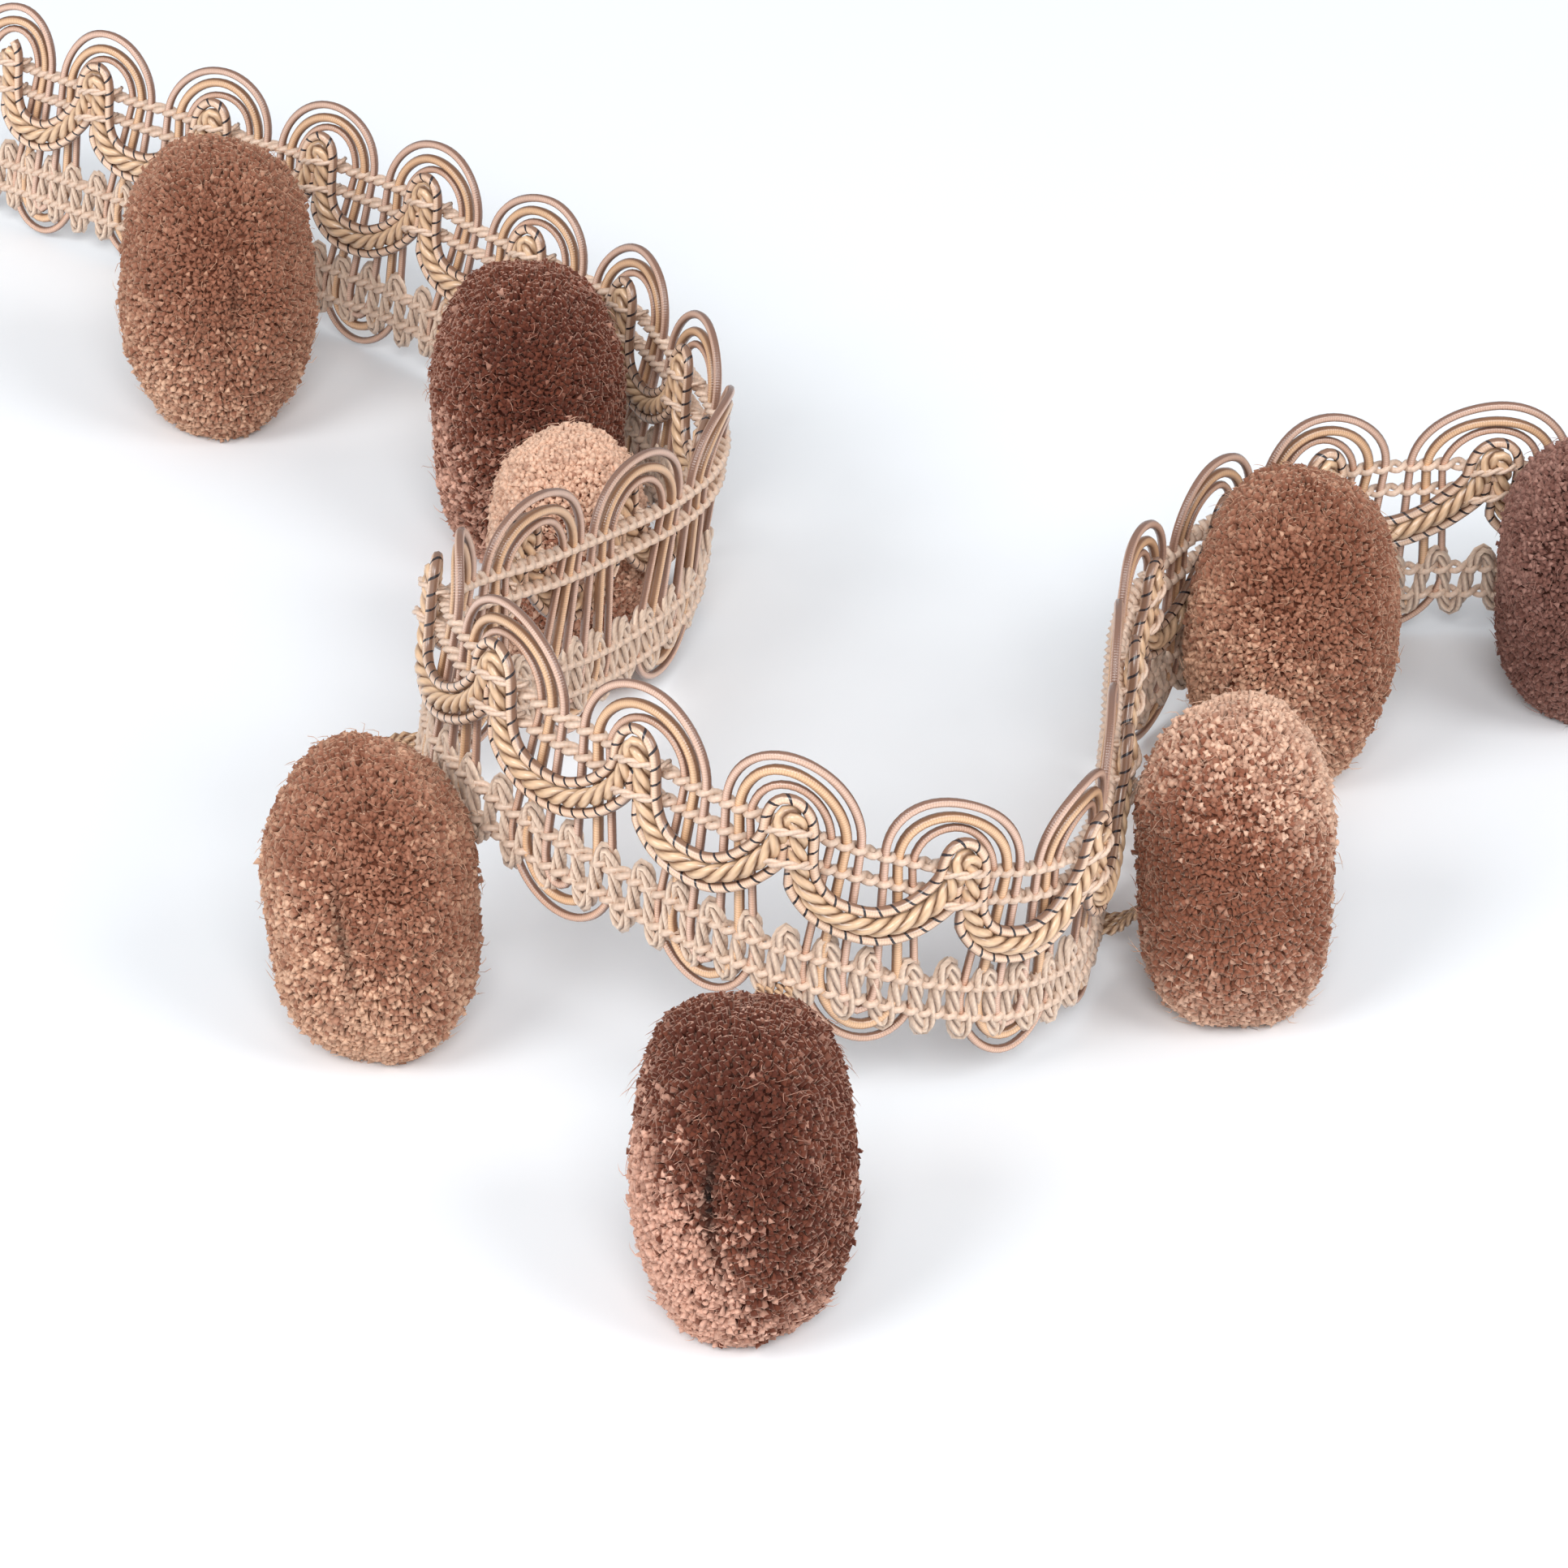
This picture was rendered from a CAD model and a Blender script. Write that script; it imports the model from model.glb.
"""Looks of a pompom fringe trim that stands on edge in a double bend.

Wrapped gimp cords, binder threads, crimped yarn, a scroll of twisted rope, cord tabs and
cut-pile pompoms take the place of the plain solids. Units are metres, +Z up. Lengths in
the tables are millimetres.
"""

import math
from collections import namedtuple

import bpy
import numpy as np
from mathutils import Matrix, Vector


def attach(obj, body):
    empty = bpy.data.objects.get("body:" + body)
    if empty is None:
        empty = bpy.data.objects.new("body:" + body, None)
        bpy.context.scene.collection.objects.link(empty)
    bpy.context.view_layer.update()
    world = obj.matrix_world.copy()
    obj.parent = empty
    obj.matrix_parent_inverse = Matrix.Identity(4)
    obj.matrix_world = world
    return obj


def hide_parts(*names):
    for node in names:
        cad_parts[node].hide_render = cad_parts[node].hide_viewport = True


bl_info = {
    "name": "Pompom Fringe Trim",
    "version": (1, 0, 0),
    "blender": (4, 5, 0),
    "location": "View3D > Sidebar > Trim",
    "description": "Makes the cords, yarns and pompoms of a fringe trim around its solids",
    "category": "Object",
}

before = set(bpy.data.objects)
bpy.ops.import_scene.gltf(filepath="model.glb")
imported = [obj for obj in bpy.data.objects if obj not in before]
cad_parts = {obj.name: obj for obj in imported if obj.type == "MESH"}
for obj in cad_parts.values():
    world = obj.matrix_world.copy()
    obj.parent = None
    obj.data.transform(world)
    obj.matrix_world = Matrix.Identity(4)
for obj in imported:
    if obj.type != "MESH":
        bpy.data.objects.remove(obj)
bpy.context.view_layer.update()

MM = 0.001
FULL_TURN = 2 * math.pi
SMALLEST = 1e-12

# Course of the braid's foot, a row for each arch, as the solids have it: place and lift
# in millimetres, lean of the top to the left of travel in degrees, skew of the top
Station = namedtuple("Station", "repeat x y lift lean skew")
COURSE = [
    Station(0, -139.5, 154.1, 0.5, 3.0, 6.8),
    Station(1, -122.5, 144.1, 0.5, 3.0, 6.8),
    Station(2, -108.0, 134.1, 0.5, 3.0, 6.8),
    Station(3, -89.5, 121.6, 0.5, 3.0, 6.8),
    Station(4, -73.0, 110.1, 0.5, 4.0, 6.8),
    Station(5, -56.5, 96.6, 0.5, 5.0, 6.8),
    Station(6, -41.0, 79.6, 0.5, 6.0, 6.5),
    Station(7, -26.5, 63.6, 0.5, 7.0, 6.0),
    Station(8, -17.0, 42.1, 0.5, 8.5, 3.5),
    Station(9, -13.5, 17.1, 1.5, 9.0, -1.0),
    Station(10, -23.0, -9.9, 5.0, 3.0, -6.0),
    Station(11, -35.5, -30.4, 12.0, 4.0, -4.0),
    Station(12, -47.0, -49.4, 19.0, 10.0, 0.0),
    Station(13, -37.5, -72.9, 20.0, 7.0, 1.8),
    Station(14, -19.0, -90.9, 19.0, 5.0, 1.8),
    Station(15, -1.5, -100.4, 16.0, 1.0, 3.0),
    Station(16, 18.0, -94.9, 7.0, -3.0, 3.3),
    Station(17, 33.5, -84.9, 3.0, -4.0, 3.0),
    Station(18, 39.5, -63.9, 1.0, -2.0, 3.0),
    Station(19, 41.5, -41.9, 0.5, -2.0, 3.0),
    Station(20, 44.0, -20.4, 0.5, -3.0, 3.0),
    Station(21, 54.5, 0.1, 0.5, -4.0, 2.2),
    Station(22, 70.0, 15.1, 0.5, -5.0, 1.6),
    Station(23, 94.0, 19.6, 0.5, -5.5, 3.6),
    Station(24, 117.0, 17.6, 0.5, -5.5, 3.8),
    Station(25, 139.0, 13.6, 0.5, -5.5, 3.8),
]
FIRST_REPEAT = 1
LAST_REPEAT = 24
BRAID_HEIGHT = 38.0
BRAID_THICKNESS = 1.8
REPEAT_WIDTH = 22.5

# Flat area of the braid between its scalloped edges, less its gaps and the slots between
# its cords, in square metres, and the points that its length is measured over
LENGTH_SAMPLES = 600

# Hand-made unevenness along the braid: how fast it comes and goes, where it starts, and
# how far it reaches, in millimetres or, for a drift along the braid, in repeats
Wander = namedtuple("Wander", "pace start reach")
WANDER_SLOW = 2.1
WANDER_FAST = 3.7
WANDER_SHIFT = 2.3
WANDER_SHARE = 0.6

# Wrapped cords of one repeat, nested and never crossing. Halves are shares of a repeat:
# from the arch's middle above, and from the loop's middle below. Heights are up the braid.
Cord = namedtuple("Cord", "name top_half top shoulder hip bottom bottom_half proud")
CORDS = [
    Cord("mauve", 0.430, 37.2, 28.0, 9.0, 4.7, 0.100, 0.10),
    Cord("gold", 0.345, 35.0, 27.5, 9.0, 2.8, 0.240, 0.00),
    Cord("rose", 0.260, 33.3, 27.0, 9.0, 0.8, 0.345, -0.10),
]

# Their mesh, and how each cord wanders up and down, in and out, and along the braid
CORD_SIDES = 8
CORD_STEP = 1.0
CORD_SEED_STEP = 1.9
CORD_RISE = Wander(2.0, 0, 0.22)
CORD_PROUD = Wander(3.0, 5, 0.12)
CORD_DRIFT = Wander(4.0, 9, 0.004)
BEND_SAMPLES = 12
ARCH_SAMPLES = 30

# Rows of binder thread: a pair of threads that twist together between the cords' legs, by
# heights, depth and spread in millimetres and twists in a repeat
BINDER_ROWS = (27.6, 23.7, 10.6, 6.3)
BINDER_TWISTS = 6
BINDER_DEPTH = 0.95
BINDER_SPREAD = 0.30
BINDER_STEP = 0.52
BINDER_SIDES = 4
BINDER_SAMPLE = 0.008
BINDER_RISE = Wander(1.5, 0, 0.2)

# Crimped yarn: a soft yarn of four plies that zigzags between the two lower binder rows
CRIMP_LOW = 3.5
CRIMP_HIGH = 13.4
CRIMPS = 4
CRIMP_START = 0.06
CRIMP_SQUARE = 0.60
CRIMP_STEP = 0.7
CRIMP_PLIES = 4
CRIMP_PITCH = 10.5
CRIMP_SIDES = 4
CRIMP_SAMPLE = 0.004
CRIMP_RISE = Wander(5.0, 3, 0.35)
CRIMP_PROUD = Wander(7.0, 1, 0.25)

# Middle line of the scroll rope over one repeat, from one knob to the next
ScrollPoint = namedtuple("ScrollPoint", "across height proud")
SCROLL = [
    ScrollPoint(0.000, 31.0, 2.6),
    ScrollPoint(0.036, 30.2, 2.6),
    ScrollPoint(0.052, 28.2, 2.5),
    ScrollPoint(0.056, 26.0, 2.3),
    ScrollPoint(0.066, 24.0, 2.2),
    ScrollPoint(0.090, 22.2, 2.1),
    ScrollPoint(0.130, 20.6, 2.1),
    ScrollPoint(0.190, 19.3, 2.1),
    ScrollPoint(0.260, 18.5, 2.1),
    ScrollPoint(0.340, 18.1, 2.1),
    ScrollPoint(0.420, 18.0, 2.1),
    ScrollPoint(0.500, 18.1, 2.1),
    ScrollPoint(0.580, 18.6, 2.1),
    ScrollPoint(0.660, 19.5, 2.1),
    ScrollPoint(0.740, 20.7, 2.1),
    ScrollPoint(0.810, 22.2, 2.1),
    ScrollPoint(0.870, 23.8, 2.2),
    ScrollPoint(0.920, 25.6, 2.3),
    ScrollPoint(0.946, 27.4, 2.5),
    ScrollPoint(0.952, 29.0, 2.6),
    ScrollPoint(0.968, 30.3, 2.6),
]
SCROLL_SAMPLES = 5
ROPE_STRANDS = 3
ROPE_STEP = 0.55
ROPE_SIDES = 7

# Satin cords beside the rope: how far off its middle line and behind it, how far from the
# knob's middle the lower one stays, how high it comes, and its mesh
FLANK_OFFSET = 1.95
FLANK_SETBACK = 0.15
FLANK_CLEAR = 0.55
FLANK_TOP = 27.6
FLANK_STEP = 0.7
FLANK_SIDES = 8
KNOB_SNAP = 1e-6

# How close the strands of any rope press together: 1 where they only touch
STRAND_SNUG = 0.86

# Short stitches that hold the two legs of the rope below each knob, each a twisted pair of
# plies: heights, slant, bow and pitch in millimetres, the half length in repeats, and the
# ply as a share of the binder thread
WAIST_HEIGHTS = (28.2, 23.7)
WAIST_HALF = 0.155
WAIST_PROUD = 3.9
WAIST_SLANT = 0.8
WAIST_RISE = 0.9
WAIST_PITCH = 4.6
WAIST_PLY = 0.62
WAIST_SQUARE = 0.35
WAIST_SAMPLES = 15
WAIST_STEP = 0.6
WAIST_SIDES = 6

# Pompoms as the solids have them: the arch each hangs from, its middle in millimetres, the
# sideways parts of its long axis, its half widths in millimetres, and its yarn
Pompom = namedtuple("Pompom", "arch x y z tilt_x tilt_y radius half yarn")
POMPOMS = [
    Pompom(3, -82.8, 84.5, 20.1, 0.00, 0.30, 13.9, 21.6, "caramel"),
    Pompom(6, -36.3, 46.1, 19.8, 0.00, 0.25, 13.4, 21.7, "chocolate"),
    Pompom(9, -29.1, 9.2, 17.3, 0.00, 0.10, 10.9, 18.5, "peach"),
    Pompom(12, -51.5, -78.2, 19.0, -0.06, 0.23, 13.1, 20.7, "caramel"),
    Pompom(15, -4.9, -135.5, 18.7, 0.00, 0.35, 13.1, 20.4, "chocolate"),
    Pompom(18, 56.9, -70.1, 19.3, 0.00, 0.30, 12.3, 21.3, "peach"),
    Pompom(21, 67.7, -14.6, 20.7, 0.05, 0.07, 13.8, 21.6, "caramel"),
    Pompom(24, 109.1, 0.4, 19.4, 0.00, -0.04, 12.7, 20.9, "plum"),
]

# Tones of each pompom in the same order, from 0 to 1: the way its paler side faces, how
# pale it is, how much paler that side and the foot are, the spread of tone from end to
# end, and how clearly the pile parts over the tie
Pile = namedtuple("Pile", "pale_x pale_y pale_z tone gain foot spread slit")
PILES = [
    Pile(-0.30, -0.30, -0.90, 0.17, 0.22, 0.20, 0.09, 0.35),
    Pile(-0.60, -0.40, -0.70, 0.14, 0.20, 0.25, 0.10, 0.00),
    Pile(0.10, 0.20, 0.90, 0.52, 0.40, 0.25, 0.12, 0.00),
    Pile(-0.70, -0.40, -0.60, 0.22, 0.38, 0.24, 0.14, 0.60),
    Pile(-0.80, -0.20, -0.55, 0.02, 0.86, 0.28, 0.15, 1.00),
    Pile(0.35, 0.40, 0.80, 0.08, 0.62, 0.80, 0.13, 0.15),
    Pile(-0.50, -0.50, -0.40, 0.10, 0.42, 0.45, 0.09, 0.10),
    Pile(-0.50, 0.20, 0.50, 0.20, 0.10, 0.30, 0.10, 0.00),
]

# Inset of the solids' locks from the tips of the pile, in millimetres
LOCK_INSET = 0.84

# Outline of the oval: 2 is an ellipse, and more makes its ends blunter
OVAL_POWER = 2.5

# Clipped unevenness, as a share of the radius, and its turns along each axis
Wave = namedtuple("Wave", "depth turns_x turns_y turns_z start")
WAVES = [
    Wave(0.020, 5, 4, 0, 2),
    Wave(0.015, 0, 0, 7, 3),
]

# Furrow that the tie leaves: depth as a share of the radius, half width in radians, and how
# far it wanders from one pompom to the next
FURROW_DEPTH = 0.07
FURROW_WIDTH = 0.35
FURROW_WANDER = 0.3

# Pile ends: how deep they are rooted and the body lies under their tips, in millimetres,
# how uneven, splayed, slanted and unequal they are, and how thick the thinnest one is
PILE_ROOT_DEPTH = 2.6
PILE_CORE_DEPTH = 0.9
PILE_UNEVEN = 0.26
PILE_SPLAY = 0.34
PILE_SLANT = 0.6
PILE_UNEQUAL = 0.6
PILE_THINNEST = 0.8
PILE_THICKER = 0.4
PILE_FLOOR = 0.05
PILE_SHAKE = 0.012
POLAR_SAMPLES = 400
GOLDEN_SHARE = 3 - math.sqrt(5)
PARTING_DEPTH = 0.10
PARTING_WIDTH = 0.38
CORE_RINGS = 20
CORE_SEGMENTS = 28

# Loose fibres, rooted in the pile: count, millimetres, how short the shortest is, how far
# most lie off the pile, how much farther the rare stray does, and how pale they are
FIBRES = 950
FIBRE_WIDTH = 0.12
FIBRE_ROOT = 0.6
FIBRE_LIFT = 0.35
FIBRE_SHORTEST = 0.4
FIBRE_LOW = 0.3
FIBRE_STRAY = 2.5
FIBRE_STRAY_RARE = 5
FIBRE_PALE = 0.6

# Course of a fibre from the pile to its tip, a row for each stretch: its share of the
# length, how far it runs straight, curls, lifts and drops, and its thickness where it ends
Stretch = namedtuple("Stretch", "length straight curl lift drop width")
STRETCHES = [
    Stretch(0.30, 1.0, 0.0, 1.0, 0.0, 0.9),
    Stretch(0.35, 0.8, 0.5, 0.5, 0.2, 0.7),
    Stretch(0.35, 0.3, 1.0, 0.3, 0.2, 0.0),
]

# Dark slit where the pile parts over the tie, inside the furrow: share of the radius,
# half angle and bend in radians, turns of the bend, place and half length along the oval,
# and its tone
SLIT_DEPTH = 0.05
SLIT_WIDTH = 0.075
SLIT_BEND = 0.05
SLIT_TURNS = 5.0
SLIT_LOW = -0.05
SLIT_HALF = 0.38
SLIT_DARK = 0.05

# Tones of the pile ends, from 0 to 1: where the paler side starts and is full and how
# ragged its edge is, the ends away from the furrow, where the paler foot starts, and the
# share of ends that stand out bright, on the whole and on the paler side
PALE_FROM = -0.15
PALE_TO = 1.0
PALE_RAGGED = 0.20
RIM_GAIN = 0.22
RIM_WIDTH = 1.15
FOOT_FROM = 0.25
BRIGHT_SHARE = 0.08
BRIGHT_GAIN = 0.38
BRIGHT_STEP = 0.32
SEED = 41

# Slow patches of tone over the pile, by turns along each axis, and how strong they are
Patch = namedtuple("Patch", "turns_x turns_y turns_z start")
PATCHES = [
    Patch(7.0, 3.0, 5.0, 1.7),
    Patch(-4.0, 6.0, 9.0, 2.9),
]
TONE_PATCH = 0.05

# Hanging tabs: a fan of two-ply cords, in millimetres, with the bow as a share of the span
TAB_SEAT_HEIGHT = 4.9
TAB_PILE_GAP = 0.5
TAB_SEAT_GAP = 0.3
TAB_BOW = 0.38
TAB_WIDTH = 4.6
TAB_CORDS = 4
TAB_INTO_PILE = 2.5
TAB_STEP = 0.6
TAB_SIDES = 5
TAB_PITCH = 3.0
TAB_PLY_SHIFT = 1.3
TAB_SAMPLES = 40

# Patterns of the yarns, in millimetres: spots of the slow clouds of tone, and the spacing
# of the lines. The lines are drawn coarser than real fibres, which are too fine to show.
CLOUD_MM = 4.0
SPUN_CLOUD_MM = 1.6
PILE_CLOUD_MM = 3.0
SPECKLE_MM = 0.5
PAPER_CLOUD_MM = 60.0
BINDER_LINE_MM = 0.5
SATIN_LINE_MM = 0.35
SPUN_LINE_MM = 0.75
ROPE_LINE_MM = 2.4

# How far the lines of a spun ply and of a rope strand slant in one turn round it, in
# millimetres, and the share of each lap of the overcast thread that shows dark
SPUN_SLANT = 3.0
ROPE_SLANT = 9.0
TICK_SHARE = 0.17

# Finishes: gloss and sheen as the shader has them, the duller and brighter parts of the
# clouds and the tone in the lines as shares of the colour, and the relief of the lines in
# millimetres with its strength
Finish = namedtuple("Finish", "roughness specular sheen dull bright line relief strength")
WRAPPED = Finish(0.26, 0.85, 0.0, 0.96, 1.12, 0.84, 0.04, 0.5)
SHEER = Finish(0.34, 0.60, 0.0, 1.00, 1.00, 0.92, 0.05, 0.2)
SPUN = Finish(0.60, 0.40, 0.3, 0.86, 1.04, 0.88, 0.08, 0.5)
TWISTED = Finish(0.26, 0.80, 0.0, 0.88, 1.04, 0.86, 0.04, 0.4)
OVERCAST = Finish(0.26, 0.80, 0.0, 1.04, 1.04, 0.90, 0.10, 0.6)
CUT = Finish(0.80, 0.20, 0.7, 0.60, 1.00, 1.00, 0.0, 0.0)
PAPER = Finish(0.60, 0.20, 0.0, 0.985, 1.00, 1.00, 0.0, 0.0)
SHEER_CLEAR = 0.22
SHEER_IOR = 1.48

# Pile: roughness of its sheen, the tone at which the yarn shows its middle colour, how
# calm its speckle is, how dark the roots are, and the tint of its warmer clouds
PILE_SHEEN_ROUGHNESS = 0.4
PILE_MIDDLE = 0.45
PILE_CALM = 0.7
PILE_ROOT_TONE = 0.9
PILE_WARM = (1.0, 0.91, 0.84)

# Sides of a satin cord: where its deeper tone ends and its full tone starts, from 0 at its
# edge to 1 on its crown, how deep that tone is, and its tint
SIDE_FROM = 0.45
SIDE_TO = 1.0
SIDE_SHARE = 0.28
SIDE_TINT = (1.0, 0.80, 0.72)

# Grooves of a rope: the lowest mark in one, and where its deeper tone ends and the full
# tone of the strand starts
GROOVE = 0.05
STRAND_FROM = 0.25
STRAND_TO = 1.0

# Table and soft panels of light, in metres and watts, with the height that they look at,
# and the light of the room
TABLE_REACH = 3.0
Panel = namedtuple("Panel", "name x y z aim_height size watts")
PANELS = [
    Panel("left_panel", -1.50, -1.20, 1.60, 0.02, 1.30, 26.5),
    Panel("right_panel", 1.60, -1.00, 1.60, 0.02, 1.30, 20.5),
    Panel("front_panel", 0.10, -1.90, 1.60, 0.00, 1.20, 28.5),
]
ROOM_COLOUR = "#f4f8fd"
ROOM_STRENGTH = 0.50

# Camera at the photograph's height and angle, and the frame it fills
CAMERA_PLACE = (0.0, -0.7584, 0.461)
CAMERA_PITCH = 58.0
CAMERA_LENS = 149.07
SENSOR_WIDTH = 36.0


def linear(hex_colour):
    """Turns an sRGB hex value such as #c08a60 into linear red, green and blue."""
    parts = [int(hex_colour[i : i + 2], 16) / 255 for i in (1, 3, 5)]
    return tuple(c / 12.92 if c <= 0.04045 else ((c + 0.055) / 1.055) ** 2.4 for c in parts)


def size_property(name, description, millimetres):
    return bpy.props.FloatProperty(
        name=name, description=description, default=millimetres * MM, unit="LENGTH", precision=5
    )


def colour_property(name, description, hex_colour):
    return bpy.props.FloatVectorProperty(
        name=name, description=description, default=linear(hex_colour), subtype="COLOR", min=0.0, max=1.0
    )


class TrimSizes(bpy.types.PropertyGroup):
    """Sizes of the cords, yarns and pile."""

    mauve: size_property("Mauve cord", "Thickness of the outer wrapped cord of each arch", 1.2)
    gold: size_property("Gold cord", "Thickness of the middle wrapped cord", 1.4)
    rose: size_property("Rose cord", "Thickness of the inner wrapped cord of each arch", 1.1)
    wrap: size_property("Wrapping pitch", "Distance between turns of the wrapping thread", 0.34)
    binder: size_property("Binder thread", "Thickness of the binder threads", 1.05)
    crimp: size_property("Crimped ply", "Thickness of one ply of the crimped yarn", 0.96)
    strand: size_property("Rope strand", "Thickness of one strand of the scroll rope", 1.28)
    rope_pitch: size_property("Rope pitch", "Length in which a strand of the rope turns once", 7.2)
    flank: size_property("Flanking cord", "Thickness of the satin cords beside the rope", 1.4)
    tick: size_property("Overcast pitch", "Distance between turns of the dark thread", 2.1)
    tab_ply: size_property("Tab ply", "Thickness of one ply of the tab cords", 0.72)
    pile_end: size_property("Pile end", "Width of one cut end of the pile", 0.74)
    fibre: size_property("Loose fibre", "Length of the longest loose fibres", 4.2)
    pile_count: bpy.props.IntProperty(
        name="Pile ends", description="Cut yarn ends on each pompom", default=11000, min=500, max=20000
    )


class TrimColours(bpy.types.PropertyGroup):
    """Yarn and floor colours."""

    mauve: colour_property("Mauve cord", "Outer wrapped cord of each arch", "#e6bfa9")
    gold: colour_property("Gold cord", "Middle wrapped cord", "#f0c39a")
    rose: colour_property("Rose cord", "Inner wrapped cord of each arch", "#e3b9a0")
    binder: colour_property("Binder thread", "Pale thread of the woven rows", "#f6d9c2")
    crimp: colour_property("Crimped yarn", "Soft yarn of the zigzag", "#ffe4cc")
    rope: colour_property("Scroll rope", "Twisted rope of the scroll and the tabs", "#f0caa4")
    flank: colour_property("Flanking cord", "Satin cords beside the rope", "#f4d0b4")
    tick: colour_property("Overcast thread", "Dark thread round the flanking cords", "#2a2428")
    caramel_deep: colour_property("Caramel, deep", "Inside the caramel pile", "#7c4b38")
    caramel: colour_property("Caramel", "Caramel pile", "#a87660")
    caramel_pale: colour_property("Caramel, pale", "Palest ends of the caramel pile", "#ecc4a8")
    chocolate_deep: colour_property("Chocolate, deep", "Inside the dark pile", "#52271c")
    chocolate: colour_property("Chocolate", "Dark pile", "#73402f")
    chocolate_pale: colour_property("Chocolate, pale", "Palest ends of the dark pile", "#efc0ab")
    peach_deep: colour_property("Peach, deep", "Inside the peach pile", "#82503c")
    peach: colour_property("Peach", "Peach pile", "#98634e")
    peach_pale: colour_property("Peach, pale", "Palest ends of the peach pile", "#f2ceb6")
    plum_deep: colour_property("Plum, deep", "Inside the plum pile", "#5a3830")
    plum: colour_property("Plum", "Plum pile", "#7d574e")
    plum_pale: colour_property("Plum, pale", "Palest ends of the plum pile", "#b48c80")
    floor: colour_property("Table", "Plain paper the trim stands on", "#f5f8fb")


# The course of the braid

KNOTS = np.array([row.repeat for row in COURSE], dtype=float)


def bending(values):
    """Second derivatives of the natural cubic curve through a column of the course."""
    count = len(KNOTS)
    steps = np.diff(KNOTS)
    matrix = np.eye(count)
    target = np.zeros(count)
    for i in range(1, count - 1):
        matrix[i, i - 1 : i + 2] = (steps[i - 1], 2 * (steps[i - 1] + steps[i]), steps[i])
        rise = (values[i + 1] - values[i]) / steps[i]
        rise -= (values[i] - values[i - 1]) / steps[i - 1]
        target[i] = 6 * rise
    return np.linalg.solve(matrix, target)


def curve_of(field):
    values = np.array([getattr(row, field) for row in COURSE], dtype=float)
    return values, bending(values)


CURVES = {field: curve_of(field) for field in ("x", "y", "lift", "lean", "skew")}


def read(field, repeats):
    """A column of the course at any repeat numbers, and its slopes there."""
    values, bends = CURVES[field]
    i = np.clip(np.searchsorted(KNOTS, repeats, side="right") - 1, 0, len(KNOTS) - 2)
    step = KNOTS[i + 1] - KNOTS[i]
    before = repeats - KNOTS[i]
    after = KNOTS[i + 1] - repeats
    start = values[i] / step - bends[i] * step / 6
    end = values[i + 1] / step - bends[i + 1] * step / 6
    value = (bends[i] * after**3 + bends[i + 1] * before**3) / (6 * step)
    value += start * after + end * before
    slope = (bends[i + 1] * before**2 - bends[i] * after**2) / (2 * step) - start + end
    return value, slope


def unit(vectors):
    return vectors / np.maximum(np.linalg.norm(vectors, axis=-1, keepdims=True), SMALLEST)


def on_braid(repeats, heights, prouds):
    """Points of the braid in metres, and the way its front faces at each."""
    repeats = np.atleast_1d(np.asarray(repeats, dtype=float))
    heights = np.broadcast_to(np.asarray(heights, dtype=float), repeats.shape)[:, None]
    prouds = np.broadcast_to(np.asarray(prouds, dtype=float), repeats.shape)[:, None]
    x, x_slope = read("x", repeats)
    y, y_slope = read("y", repeats)
    lift = read("lift", repeats)[0]
    lean = np.radians(read("lean", repeats)[0])[:, None]
    skew = read("skew", repeats)[0][:, None]
    travel = unit(np.stack([x_slope, y_slope, 0 * x], axis=1))
    left = np.stack([-travel[:, 1], travel[:, 0], 0 * x], axis=1)
    up = np.array([0.0, 0.0, 1.0])
    rise = left * np.sin(lean) + up * np.cos(lean)
    front = up * np.sin(lean) - left * np.cos(lean)
    foot = np.stack([x, y, lift], axis=1)
    points = foot + travel * (skew * heights / BRAID_HEIGHT) + rise * heights + front * prouds
    return points * MM, front


def lengths_along(path):
    steps = np.linalg.norm(np.diff(path, axis=0), axis=1)
    return np.concatenate([[0.0], np.cumsum(steps)])


def evenly(path, fronts, step_mm):
    """The same path with its points an even step apart."""
    along = lengths_along(path)
    count = max(2, int(round(along[-1] / (step_mm * MM))) + 1)
    at = np.linspace(0.0, along[-1], count)
    even = np.stack([np.interp(at, along, path[:, k]) for k in range(3)], axis=1)
    faces = np.stack([np.interp(at, along, fronts[:, k]) for k in range(3)], axis=1)
    return even, unit(faces)


def laid(repeats, heights, prouds, step_mm):
    """A flat course laid on the braid, its points an even step apart."""
    path, fronts = on_braid(repeats, heights, prouds)
    return evenly(path, fronts, step_mm)


def wander(repeats, kind, seed=0):
    """Slow hand-made unevenness, the same on each run."""
    values = repeats * kind.pace
    start = seed + kind.start
    waves = np.sin(values * WANDER_SLOW + start)
    waves = waves + np.sin(values * WANDER_FAST + WANDER_SHIFT * start) * WANDER_SHARE
    return kind.reach * waves / (1.0 + WANDER_SHARE)


# Meshes of many tubes


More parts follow.
